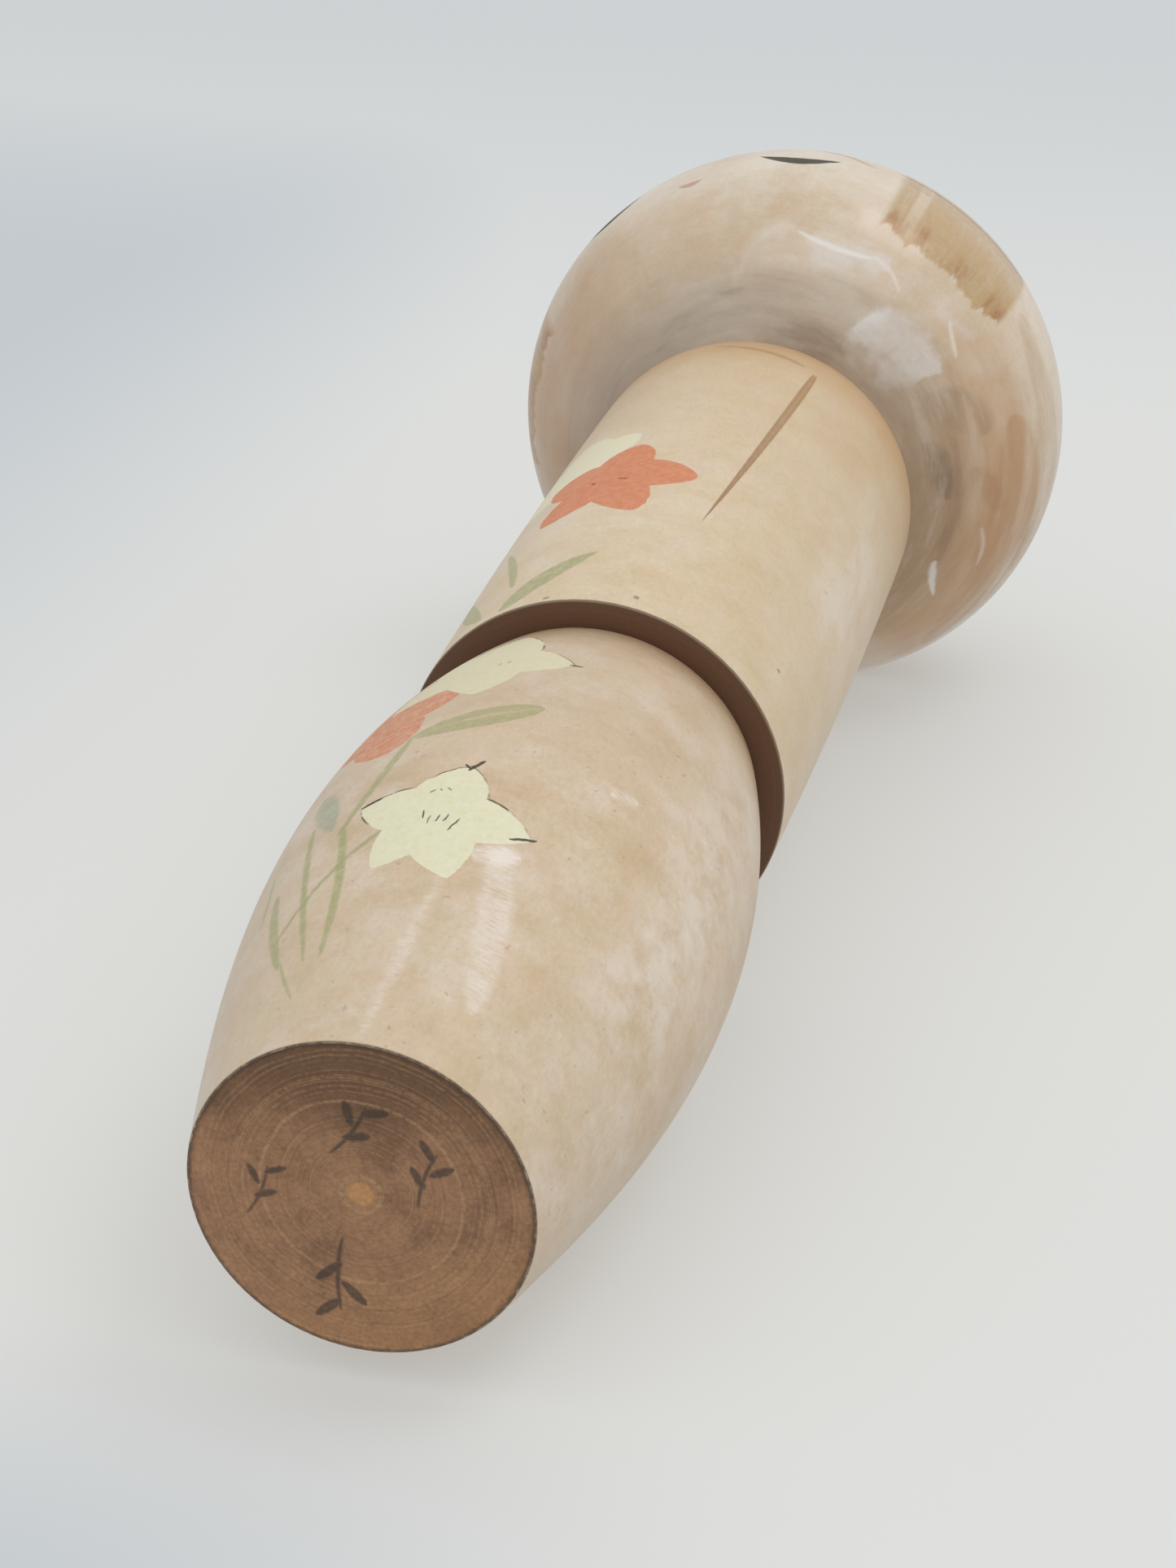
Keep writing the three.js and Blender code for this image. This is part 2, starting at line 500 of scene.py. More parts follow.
def painted(below, inside, colour, cover, edge=0.12):
    """Paint over a colour wherever inside is positive. cover is its opacity, 0 to 1."""
    return mixed(below, colour, inside.rise(-edge, edge) * cover)


def wood_ground(ground, colours, part, size, bloom_cover, fleck_cover, grit):
    """Sanded wood under a milky coat: blotches of three tints in many sizes, faint rings left
    by the turning, red flecks and a fine speckle of strength grit. Returns the colour, the
    rings and the speckle."""
    mottle = ground.noise(size, detail=6, roughness=0.66)
    flush = ground.noise(size * 0.7, detail=6, roughness=0.68, shift=19)
    milk = ground.noise(size * 0.8, detail=7, roughness=0.7, shift=11)
    rings = ground.noise(0.55, detail=3, stretch=(14, 14, 1), shift=3)
    speckle = ground.noise(0.7, detail=5, roughness=0.78, stretch=(1, 1, 1.8), shift=7)
    fleck = ground.noise(0.9, detail=0, shift=41).rise(0.79, 0.84)
    pale = getattr(colours, part + "_wood")
    deep = getattr(colours, part + "_deep")
    tint = mixed(pale, deep, mottle.rise(0.3, 0.74))
    tint = mixed(tint, colours.rosy, flush.rise(0.4, 0.66) * 0.5)
    tint = mixed(tint, colours.bloom, milk.rise(0.42, 0.74) * bloom_cover)
    tint = mixed(tint, "A26A4A", fleck * fleck_cover)
    return shaded(tint, rings * 0.12 + speckle * grit + (0.94 - grit / 2)), rings, speckle


def barrel_finish(colours):
    """The lower body's side: mottled wood with cream and coral flowers, stems and a leaf."""
    material, shader, ground = new_finish("barrel_paintwork", 0.5, BODY_COAT, 0.28)
    wood, streak, fibre = wood_ground(ground, colours, "barrel", 12, 0.5, 0.4, 0.46)
    design, _ = ground.unrolled(BARREL_ROUND, 1.3, 0.5, 0.4)
    brush = ground.brush(1.1)
    thin = brush.rise(0.3, 0.62)

    tint = wood
    stems = [  # start and end in degrees and mm, half width, bow
        ((0, 64), (-8, 41), 0.65, 0.5),
        ((-7.6, 43), (1, 15), 0.7, 1.1),
        ((8, 40.5), (-18, 21), 0.45, -0.9),
        ((-19, 47), (-4, 15), 0.55, -0.6),
        ((-24, 34), (-13, 15.5), 0.85, -0.7),
        ((-13, 17), (-4, 8.5), 0.3, -0.3),
        ((-31, 42), (-28, 29), 0.35, 0.4),
    ]
    for shape in stems:
        stem = design.stroke(*shape, heel=0.3, toe=0.35)
        tint = painted(tint, stem, colours.leaf_paint, thin * 0.35 + 0.5, 0.3)
    bud = design.stroke((-11, 43), (-22, 56.5), 2.0, heel=0.8, toe=0.6)
    tint = painted(tint, bud, colours.bud_paint, thin * 0.4 + 0.35, 0.5)
    leaf_ends = ((0, 63.5), (29, 72.5))
    leaf = design.stroke(*leaf_ends, 2.7, bend=-0.8, heel=0.6, toe=0.55)
    vein = design.stroke(*leaf_ends, 0.55, bend=-0.5, heel=1.5, toe=1.0)
    tint = painted(tint, leaf, colours.leaf_paint, thin * 0.35 + 0.5)
    tint = mixed(tint, wood, vein.rise(-0.2, 0.3) * brush.rise(0.42, 0.55) * 0.8)

    coral = design.flower(CORAL_LOW, CORAL_LOW_TIPS)
    wash = mixed(colours.coral_paint, "DEAA90", brush.rise(0.35, 0.66) * 0.8)
    tint = painted(tint, coral, wash, 0.86)

    paint = mixed(colours.cream_paint, "DEDAAE", brush.rise(0.4, 0.75) * 0.6)
    paint = shaded(paint, fibre * 0.2 + 0.88)
    line_gate = ground.noise(4, detail=2, shift=23).rise(0.38, 0.56) * brush.rise(0.3, 0.45)
    dry = coral
    for centre, tips in ((CREAM_HIGH, CREAM_HIGH_TIPS), (CREAM_LOW, CREAM_LOW_TIPS)):
        petals = design.flower(centre, tips, toe=0.8)
        tint = painted(tint, petals, paint, 0.96)
        upper_side = (design.y - centre[1]).rise(-3.5, 0.5)
        outline = abs(petals).rise(0.28, 0.084)
        tint = mixed(tint, "4E2C0C", outline * line_gate * upper_side * 0.95)
        dry = dry.most(petals)
    ticks = [  # ink ticks on petal tips and stamens: start, end, half width, colour
        ((20, 52.6), (23, 55.4), 0.28, colours.ink),
        ((18.6, 54.2), (20.6, 53), 0.2, colours.ink),
        ((37, 40), (43.6, 41.6), 0.25, colours.ink),
        ((1.5, 47.2), (-4, 45.8), 0.28, colours.ink),
        ((27.5, 89.6), (31, 89.9), 0.32, colours.ink),
        ((14.2, 43), (15, 41), 0.12, colours.eye),
        ((16.6, 41.8), (16.7, 39.9), 0.1, "6A6E30"),
        ((18.8, 42), (18.4, 40.4), 0.12, colours.eye),
        ((20.9, 42.3), (20.1, 40.6), 0.13, colours.eye),
        ((24, 41.6), (22.2, 38.8), 0.13, colours.eye),
        ((13.6, 47), (14.8, 47.8), 0.12, "5C6028"),
        ((15.6, 48), (16.6, 47.4), 0.1, "5C6028"),
        ((17.6, 48.2), (18.6, 47.6), 0.1, "5C6028"),
        ((10.6, 89), (11.2, 90), 0.16, colours.leaf_paint),
        ((8.6, 88.2), (8.8, 89.4), 0.12, colours.leaf_paint),
    ]
    for *shape, pen in ticks:
        tick = design.stroke(*shape, heel=0.4, toe=0.4)
        tint = painted(tint, tick, pen, 0.9, 0.08)
        dry = dry.most(tick)

    scratch = ground.noise(0.35, detail=3, stretch=(5, 5, 1), shift=17)
    worn = ground.noise(6, detail=6, roughness=0.72, shift=21)
    weave = scratch * 0.45 + worn * 0.55
    # Whitish scuffs in the coat. The second and third rows, long streaks up from the foot, are painted
    # highlights: streaks of window light in the coat.
    scuffs_and_highlights = [  # start, end, half width, cover
        ((30.5, 35), (42, 37.5), 1.9, 0.7),
        ((23.5, 0.5), (26, 31), 1.1, 0.42),
        ((37, 38), (50, 10), 2.6, 0.5),
        ((53, 58.5), (60, 60.5), 1.2, 0.8),
    ]
    for *shape, cover in scuffs_and_highlights:
        patch = design.stroke(*shape, heel=0.4, toe=0.4)
        tint = mixed(tint, "EFE7DE", patch.rise(-0.8, 1.0) * weave.rise(0.34, 0.6) * cover)
    tint = mixed(tint, colours.bloom, worn.rise(0.58, 0.74) * scratch.rise(0.4, 0.65) * 0.35)
    x, z = design.x, ground.z
    # Painted reflection: a pale band of window light down the side, 34 to 60 mm round from the front,
    # broken up like milky bloom.
    side = x.rise(34, 44) * x.rise(60, 50) * z.rise(12, 34) * z.rise(106, 84)
    tint = mixed(tint, "E9E2D6", side * worn.rise(0.36, 0.62) * 0.42)
    tint = mixed(tint, "DDD3C4", z.rise(42, 8) * 0.12)
    tint = mixed(tint, "B4936C", z.rise(48, 84) * 0.22)
    # Painted light: the other side, 9 to 90 mm round from the front, made lighter.
    tint = mixed(tint, "E9E0D0", x.rise(-9, -26) * x.rise(-90, -50) * 0.3)
    # Darker at the top of the barrel: painted shade under the overhanging upper body, with some dirt.
    tint = mixed(tint, "A07E5A", z.rise(102, 113.1) * 0.5)
    rim = z.rise(0.28, 0.1)
    tint = mixed(tint, "4A3420", rim * (brush.rise(0.3, 0.6) * 0.4 + 0.5))
    dry = dry.rise(-0.1, 0.1).most(rim)
    plug(shader, Base_Color=tint, Roughness=streak * 0.22 + 0.38 + dry * 0.2)
    plug(shader, Coat_Weight=BODY_COAT - dry * 0.36)
    bumped(shader, streak * 0.5 + fibre * 0.5, 0.04 * MM)
    return material


def upper_finish(colours):
    """The upper body's side: cream wood with one coral flower over a pale one and a leaf."""
    material, shader, ground = new_finish("upper_paintwork", 0.5, BODY_COAT, 0.28)
    wood, streak, fibre = wood_ground(ground, colours, "upper", 11, 0.35, 0.2, 0.42)
    design, wobble = ground.unrolled(UPPER_ROUND, 1.2, 0.6, 0.5)
    brush = ground.brush(1.2)
    thin = brush.rise(0.3, 0.62)

    pale = design.flower(CREAM_TOP, CREAM_TOP_TIPS)
    tint = painted(wood, pale, colours.cream_paint, 0.82)
    leaves = [  # start, end, half width, bow, heel, toe
        ((-8, 115), (15, 131), 2.3, 0.9, 0.6, 0.8),
        ((-9, 124), (-25, 146), 0.8, -0.6, 0.5, 0.6),
        ((-16, 116), (-34, 134), 1.6, 0.8, 0.6, 0.7),
    ]
    for shape in leaves:
        leaf = design.stroke(*shape)
        tint = painted(tint, leaf, colours.leaf_paint, thin * 0.4 + 0.52, 0.25)
    coral = design.flower(CORAL_HIGH, CORAL_HIGH_TIPS)
    wash = mixed(colours.coral_paint, "DC9468", brush.rise(0.4, 0.62) * 0.5)
    wash = shaded(wash, fibre * 0.35 + 0.82)
    tint = painted(tint, coral, wash, 0.92)
    for ends in (((-2.2, 161.8), (-1.2, 160.6)), ((6.6, 161), (10, 160.4))):
        dot = design.stroke(*ends, 0.3, heel=0.3, toe=0.3)
        tint = painted(tint, dot, "7A4030", 0.75, 0.12)

    crease = design.stroke((10, 223.2), (43, 220.4), 0.65, bend=0.2, heel=0.6, toe=0.3)
    tint = painted(tint, crease, "8F6034", 0.75, 0.3)
    steady = Design(ground.turn * UPPER_ROUND + wobble * 0.12, ground.z, UPPER_ROUND)
    gouge = steady.stroke(*GOUGE, GOUGE_HALF_WIDTH, GOUGE_BEND, *GOUGE_ENDS)
    tint = painted(tint, gouge, colours.gouge, thin * 0.15 + 0.8, 0.14)
    pits = [(32.5, 117, 0.5), (6.5, 114.8, 0.4), (81, 126, 0.45), (84, 158, 0.35)]
    for turn, height, size in pits:
        ends = ((turn, height), (turn + 1.6, height + 0.5))
        pit = design.stroke(*ends, size, heel=0.4, toe=0.4)
        tint = painted(tint, pit, "7D6034", 0.75, 0.2)
    worn = ground.noise(7, detail=6, roughness=0.7, stretch=(1, 1, 2.5), shift=21)
    x, z = design.x, ground.z
    # Painted reflection: a pale band of window light down the side, 36 to 58 mm round from the front,
    # broken up like milky bloom.
    side = x.rise(36, 44) * x.rise(58, 50) * z.rise(136, 160) * z.rise(212, 192)
    tint = mixed(tint, "E9E4D8", side * worn.rise(0.38, 0.6) * 0.5)
    # Painted shade: darker towards the shoulder, under the overhanging head.
    tint = mixed(tint, "BF9C6C", z.rise(165, 215) * 0.3)
    # Painted shade: the side 10 to 86 mm round from the front made darker.
    tint = mixed(tint, "BC9F72", x.rise(10, 36) * x.rise(86, 50) * 0.26)
    # Warm amber band along the shoulder's edge, deepened as painted shade under the head.
    tint = mixed(tint, "BC8E5A", (z + wobble * 2).rise(212, 228) * 0.62)
    tint = mixed(tint, "5E4326", (z + wobble * 0.3).rise(113.95, 113.75) * 0.85)
    dry = coral.most(pale).rise(-0.1, 0.1)
    plug(shader, Base_Color=tint, Roughness=streak * 0.2 + 0.36 + dry * 0.2)
    plug(shader, Coat_Weight=BODY_COAT - dry * 0.36)
    bumped(shader, streak * 0.5 + fibre * 0.5, 0.035 * MM)
    return material


def head_finish(colours):
    """The head: warm banded wood, amber hair stain, two crescent eyes and a small mouth."""
    material, shader, ground = new_finish("head_paintwork", 0.4, HEAD_COAT, 0.16)
    wood, streak, fibre = wood_ground(ground, colours, "head", 16, 0.4, 0.0, 0.26)
    bands = ground.noise(2.6, detail=5, roughness=0.62, stretch=(9, 9, 1), shift=2)
    wide = ground.noise(12, detail=4, roughness=0.6, stretch=(2.5, 2.5, 1), shift=27)
    design, _ = ground.unrolled(HEAD_ROUND, 1.6, 0.5, 0.4)
    x, y = design.x, design.y
    brush = ground.brush(1.1)
    low = ground.z.rise(257, 246)
    left = x.rise(153, 139)  # fades the tints of the left side out before the back
    side = (x * 0.01 + wide).rise(0.95, 1.6) * left
    far_side_shade = (x * -0.03 + wide).rise(0.7, 1.5) * x.rise(-153, -139)
    tint = mixed(wood, colours.head_deep, bands.rise(0.3, 0.8) * (low * 0.3 + 0.15))
    # Low on the left side: the wood's warm brown, deepened as painted shade.
    tint = mixed(tint, "B88A58", low * side * (bands.rise(0.2, 0.8) * 0.25 + 0.46))
    # Painted shade: the other side, away from the light, darker and warmer below the hair.
    tint = mixed(tint, "B9906C", ground.z.rise(262, 248) * far_side_shade * 0.5)
    # Painted shade: grey brown under the head round the collar, browner towards the left side.
    collar = ground.z.rise(245.5, 238)
    shade = mixed("9C948A", "8A7258", x.rise(-15, 55) * left)
    tint = mixed(tint, shade, collar * (bands.rise(0.3, 0.7) * 0.25 + 0.38))
    tint = mixed(tint, "D0C6BC", collar * bands.rise(0.46, 0.36) * wide.rise(0.4, 0.6) * 0.3)
    tint = mixed(tint, "7A5C40", collar * bands.rise(0.54, 0.72) * (side * 0.1 + 0.35))
    # The first stroke, dark along the collar, is a streak deepened as painted shade where the head meets
    # the shoulder; the others are stain.
    stains_and_collar_shade = [  # start, end, half width, colour, cover
        ((96, 238.4), (117, 239.8), 1.0, "6A5636", 0.75),
        ((82, 240), (100, 244.5), 2.6, "8E7258", 0.4),
        ((108, 242.5), (122, 247), 1.8, "A0683E", 0.35),
        ((98, 249), (165, 252), 5.5, "B07A40", 0.42),
        ((80, 259), (140, 257), 5.0, "AC8C5E", 0.35),
    ]
    for *shape, pen, cover in stains_and_collar_shade:
        blot = design.stroke(*shape, heel=0.5, toe=0.5)
        tint = mixed(tint, pen, blot.rise(-0.7, 0.9) * bands.rise(0.25, 0.6) * cover)
    tint = hair(ground, tint, colours, y, brush)

    both = Design(abs(x), y, HEAD_ROUND)
    marks = [  # start, end, half width, bow, heel, toe, colour, cover: an eye and its brow
        ((13.6, 266.6), (30.8, 266.6), 1.55, -2.7, 0.9, 0.9, colours.eye, 0.9),
        ((13, 277), (38, 268.6), 0.6, 1.7, 0.5, 0.5, "8A6A48", 0.45),
        ((42, 272.4), (77, 271), 0.45, 0.2, 0.3, 0.3, "7A5A34", 0.6),
    ]
    dry = None
    for *shape, pen, cover in marks:
        mark = both.stroke(*shape)
        tint = painted(tint, mark, pen, brush.rise(0.2, 0.5) * 0.1 + (cover - 0.1), 0.22)
        dry = mark if dry is None else dry.most(mark)
    lip = stroke(x, y, (-2.3, 259.5), (2.3, 259.5), 0.75, bend=-0.5, heel=0.7, toe=0.7)
    tint = painted(tint, lip, colours.mouth, 0.7, 0.35)

    milky = ground.noise(7, detail=3, roughness=0.55, shift=31) - 0.5
    drifting = Design(x + milky * 14, y + milky * 8, HEAD_ROUND)
    # These are milky places in the coat and also painted reflections of a light in the glossy coat.
    patches = [  # start, end, half width, bow, cover: milky places in the coat
        ((29, 245.6), (50, 246), 2.0, -0.4, 0.5),
        ((52, 240), (78, 240.8), 2.5, 0.3, 0.55),
        ((51, 239.6), (57, 241.8), 0.9, 0.2, 0.6),
        ((64, 245.2), (76, 247), 0.9, 0.2, 0.4),
        ((12, 241), (27, 247.6), 1.0, 1.6, 0.3),
    ]
    for *shape, cover in patches:
        patch = drifting.stroke(*shape, heel=0.35, toe=0.35).rise(-1.0, 1.5)
        tint = mixed(tint, "E6E6E6", patch * (brush * 0.7 + wide * 0.8) * cover)
    scrapes = [  # start, end, half width, bow, cover: fine smooth lines in the coat
        ((27, 247), (46, 246.6), 0.36, -0.9, 0.75),
        ((46, 246.8), (56, 244.6), 0.3, 0.6, 0.4),
        ((70, 246.4), (78, 244.4), 0.3, -0.2, 0.5),
        ((126, 244.6), (137, 246.4), 0.3, 0.4, 0.35),
        ((138, 240.8), (149, 243.4), 0.42, -0.5, 0.7),
    ]
    for *shape, cover in scrapes:
        scrape = design.stroke(*shape, heel=0.5, toe=0.5)
        tint = painted(tint, scrape, "ECEAE6", cover, 0.3)
    dry = dry.rise(-0.2, 0.2)
    plug(shader, Base_Color=tint, Roughness=bands * 0.2 + 0.32 + dry * 0.4)
    plug(shader, Coat_Weight=HEAD_COAT - dry * 0.62)
    bumped(shader, streak * 0.4 + fibre * 0.3 + bands * 0.3, 0.05 * MM)
    return material


def hair(ground, below, colours, y, brush):
    """Amber stain in brushed strokes: a cap over the crown and a lock down each side."""
    degrees = abs(ground.turn) * math.degrees(1)
    strands = ground.strands(1.3, 15, HEAD_ROUND, shift=13)
    drips = ground.strands(4.6, 30, HEAD_ROUND, shift=5)
    ragged = (strands - 0.5) * 9
    hem = y + (drips - 0.5) * 11 + ragged * 0.06
    lock = degrees.rise(43, 45.5) * degrees.rise(79, 77) * hem.rise(251, 252.2)
    cap_edge = 274 + degrees.rise(60, 20) * 11 - degrees.rise(88, 150) * 11
    cap = (y + ragged * 0.5 - cap_edge).rise(-0.4, 0.8)
    stain = lock.most(cap)
    gaps = 1 - strands.rise(0.46, 0.66) * (cap * 0.35 + 0.15)
    pale = degrees.rise(48, 48.8) * degrees.rise(51.6, 50.6) * y.rise(250, 258) * y.rise(275, 271)
    thick = stain * gaps * (1 - pale * 0.6) * (brush * 0.4 + 0.65)
    tint = mixed(below, colours.hair, thick * (cap * 0.36 + 0.76))
    pooled = hem.rise(257.5, 252.8) * lock * drips.rise(0.56, 0.42)
    tint = mixed(tint, "9C5E14", pooled * (brush * 0.5 + 0.35))
    combed = y + ragged * 0.3
    band = combed.rise(266.5, 268) * combed.rise(272.5, 271) * lock
    tint = mixed(tint, "A8804A", band * strands.rise(0.35, 0.55) * 0.5)
    return mixed(tint, "6B4526", stain * strands.rise(0.62, 0.72) * 0.45 * cap)


def foot_finish(colours):
    """Brown end grain of the foot: growth rings round the pith, a dark rim and ink sprigs."""
    material, shader, ground = new_finish("foot_end_grain", 0.62, 0.12, 0.4)
    dx, dy = ground.x - PITH[0], ground.y - PITH[1]
    wander = ground.noise(9, detail=3, shift=4) - 0.5
    ring_radius = (dx * dx + dy * dy) ** 0.5 + wander * 1.1
    rings = ground.rings(ring_radius, 0.62)
    fine_rings = ground.rings(ring_radius, 1.5)
    fuzz = ground.noise(0.6, detail=5, roughness=0.75, shift=6)
    stain = ground.noise(7, detail=6, roughness=0.7, shift=8)
    skyward = ground.x * SKYWARDS.x + ground.y * SKYWARDS.y
    tint = mixed(colours.foot, colours.foot_deep, stain.rise(0.45, 0.7) * 0.6)
    tint = mixed(tint, "B8906A", stain.rise(0.46, 0.3) * 0.5)
    # Darker towards the side that faces up when the doll lies down, lighter towards the other side.
    tint = mixed(tint, colours.foot_deep, (skyward + stain * 8).rise(8, 21) * 0.9)
    tint = mixed(tint, "A87C52", (skyward - ground.x * 0.4 + stain * 6).rise(-2, -14) * 0.5)
    pale_line = abs(fine_rings - 0.5).rise(0.035, 0.008) * fuzz.rise(0.3, 0.55)
    tint = mixed(tint, colours.foot_pale, pale_line * (rings.rise(0.4, 0.6) * 0.25 + 0.14))
    tint = mixed(tint, colours.foot_pale, rings.rise(0.58, 0.68) * fuzz.rise(0.3, 0.6) * 0.2)
    tint = mixed(tint, colours.foot_deep, fine_rings.rise(0.56, 0.72) * 0.16)
    tint = mixed(tint, "C4935C", ring_radius.rise(2.0, 1.4) * 0.75)
    halo = abs(ring_radius - 2.5).rise(0.5, 0.15)
    tint = mixed(tint, "B08C64", halo * fuzz.rise(0.3, 0.6) * 0.7)
    tint = shaded(tint, fuzz * 1.15 + 0.44)
    wobble = ground.noise(0.7, detail=2, shift=15) - 0.5
    x, y = ground.x + wobble * 0.35, ground.y - wobble * 0.35
    soak = fuzz.rise(0.25, 0.55) * 0.4 + 0.4
    for sprig in INK_SPRIGS:
        tint = painted(tint, leaf_sprig(x, y, *sprig), "352C24", soak, 0.22)
    edge = (ground.radius + wobble * 0.6).rise(20.5, 21.2)
    tint = mixed(tint, "33241A", edge * 0.7)
    plug(shader, Base_Color=tint, Roughness=fuzz * 0.2 + 0.5)
    bumped(shader, rings * 0.5 + fuzz * 0.5, 0.06 * MM)
    return material


def underside_finish(colours):
    """The dark stained underside of the upper body, with faint cutter rings."""
    material, shader, ground = new_finish("stained_underside", 0.6, 0.06, 0.3)
    rings = ground.rings(ground.radius, 3.0)
    fuzz = ground.noise(0.35, detail=3, roughness=0.7, shift=6)
    tint = mixed(colours.underside, "6E4C3A", rings.rise(0.45, 0.75) * 0.7)
    edge = (ground.radius + fuzz * 0.4).rise(27.8, 28.2)
    tint = mixed(shaded(tint, fuzz * 0.5 + 0.75), "5E4326", edge * 0.7)
    plug(shader, Base_Color=tint, Roughness=fuzz * 0.2 + 0.45)
    bumped(shader, rings * 0.6 + fuzz * 0.4, 0.05 * MM)
    return material


def bare_finish(colours):
    """Uncoated turned wood for sockets, seats and pegs: long grain and cutter rings."""
    material, shader, ground = new_finish(BARE, 0.7, 0.0, 0.5)
    grain = ground.noise(0.5, detail=4, roughness=0.65, stretch=(1, 1, 14))
    rings = ground.noise(0.4, detail=2, stretch=(30, 30, 1), shift=2)
    tint = mixed(colours.bare, "9C7444", grain.rise(0.4, 0.7) * 0.8)
    plug(shader, Base_Color=shaded(tint, rings * 0.3 + 0.85), Roughness=grain * 0.2 + 0.6)
    bumped(shader, grain * 0.5 + rings * 0.5, 0.05 * MM)
    return material


# ---------------------------------------------------------------- pieces


def gouge_cut(turn, height, radius):
    """Depth of the gouge: a tapered trough along a line from its top to its tip, with a half
    width of t and 1 - t to the powers GOUGE_ENDS and a round floor 1 - (across / width)^2."""
    (top, tip) = [np.array(in_mm(place, UPPER_ROUND)) for place in GOUGE]
    run = tip - top
    span = np.hypot(*run)
    x = turn * UPPER_ROUND - top[0]
    y = height / MM - top[1]
    t = np.clip((x * run[0] + y * run[1]) / span**2, 0, 1)
    across = (y * run[0] - x * run[1]) / span - 4 * GOUGE_BEND * t * (1 - t)
    heel, toe = GOUGE_ENDS
    width = t**heel * (1 - t) ** toe * GOUGE_HALF_WIDTH / GOUGE_FILL
    floor = np.clip(1 - (across / np.maximum(width, 1e-3)) ** 2, 0, 1)
    on_side = radius > (UPPER_ROUND - 3) * MM
    return GOUGE_DEPTH * floor * np.sqrt(np.clip(width / GOUGE_HALF_WIDTH, 0, 1)) * on_side


def lower_body_piece(scene):
    """The barrel. Its side is a straight cone plus a swell s = 4u(1 - u) that is tilted
    upwards and filled out by its square."""
    sizes, colours = scene.kokeshi_sizes, scene.kokeshi_colours
    u = np.linspace(0, 1, 150)
    swell = 4 * u * (1 - u)
    cone = sizes.base_radius + (sizes.waist_radius - sizes.base_radius) * u
    bulge = swell * (sizes.belly - sizes.belly_tilt * (1 - 2 * u))
    radius = cone + bulge + sizes.belly_fullness * swell**2
    top_edge = 0.4 * MM
    height = sizes.base_edge + (WAIST_HEIGHT - top_edge - sizes.base_edge) * u
    socket = DOWEL_RADIUS + SOCKET_GAP
    floor = DOWEL_BOTTOM - SOCKET_GAP
    flat = sizes.base_radius - sizes.base_edge
    profile = joined(
        line((0, 0), (flat, 0), 14),
        arc((flat, sizes.base_edge), sizes.base_edge, -90, 0, 7),
        np.column_stack([radius, height]),
        arc((sizes.waist_radius - top_edge, WAIST_HEIGHT - top_edge), top_edge, 0, 90, 5),
        line((sizes.waist_radius - top_edge, WAIST_HEIGHT), (socket, WAIST_HEIGHT), 6),
        hole(socket, WAIST_HEIGHT, floor),
    )
    piece = turned("barrel_block", profile, steps_round(sizes.turns))
    finishes = [barrel_finish(colours), foot_finish(colours), bare_finish(colours)]

    def choose(radius, height):
        """Foot end grain below, bare wood on top and in the socket, paintwork elsewhere."""
        in_socket = (radius < socket * WALL_SLACK) & (height > floor / 2)
        inner = in_socket | (height > WAIST_HEIGHT - 2 * SKIN)
        return np.where(inner, 2, np.where(height < SKIN, 1, 0))

    finish_faces(piece, finishes, choose)
    in_place(piece, "lower_body", "body")


def upper_body_piece(scene):
    """The upper block. Its side is a straight line plus a swell 4u(1 - u), and its shoulder a
    quarter of an ellipse."""
    sizes, colours = scene.kokeshi_sizes, scene.kokeshi_colours
    edge = sizes.step_edge
    u = np.linspace(0, 1, 130)
    swell = 4 * u * (1 - u)
    side_radius = sizes.step_radius + (sizes.shoulder_radius - sizes.step_radius) * u
    side_radius = side_radius + sizes.upper_swell * swell
    side_height = STEP_HEIGHT + edge + (sizes.shoulder_height - STEP_HEIGHT - edge) * u
    roll = np.radians(np.linspace(0, 90, 22))
    inset = sizes.shoulder_radius - sizes.collar_radius
    roll_radius = sizes.collar_radius + inset * np.cos(roll)
    rise = COLLAR_HEIGHT - sizes.shoulder_height
    roll_height = sizes.shoulder_height + rise * np.sin(roll)
    waist_socket = DOWEL_RADIUS + SOCKET_GAP
    neck_socket = PEG_RADIUS + SOCKET_GAP
    profile = joined(
        hole(waist_socket, STEP_HEIGHT, DOWEL_TOP + SOCKET_GAP)[::-1],
        line((waist_socket, STEP_HEIGHT), (sizes.step_radius - edge, STEP_HEIGHT), 14),
        arc((sizes.step_radius - edge, STEP_HEIGHT + edge), edge, -90, 0, 6),
        np.column_stack([side_radius, side_height]),
        np.column_stack([roll_radius, roll_height]),
        line((sizes.collar_radius, COLLAR_HEIGHT), (neck_socket, COLLAR_HEIGHT), 5),
        hole(neck_socket, COLLAR_HEIGHT, PEG_BOTTOM - SOCKET_GAP),
    )
    piece = turned("upper_block", profile, steps_round(sizes.turns, *GOUGE_STEPS), gouge_cut)
    finishes = [upper_finish(colours), underside_finish(colours), bpy.data.materials[BARE]]

    def choose(radius, height):
        """Stain below, bare wood on the collar and in both sockets, paintwork elsewhere."""
        under = height < STEP_HEIGHT + SKIN
        inner = (radius < waist_socket * WALL_SLACK) & (height > STEP_HEIGHT + SKIN)
        inner = inner | (height > COLLAR_HEIGHT - SKIN)
        return np.where(inner, 2, np.where(under, 1, 0))

    finish_faces(piece, finishes, choose)
    in_place(piece, "upper_body", "body")


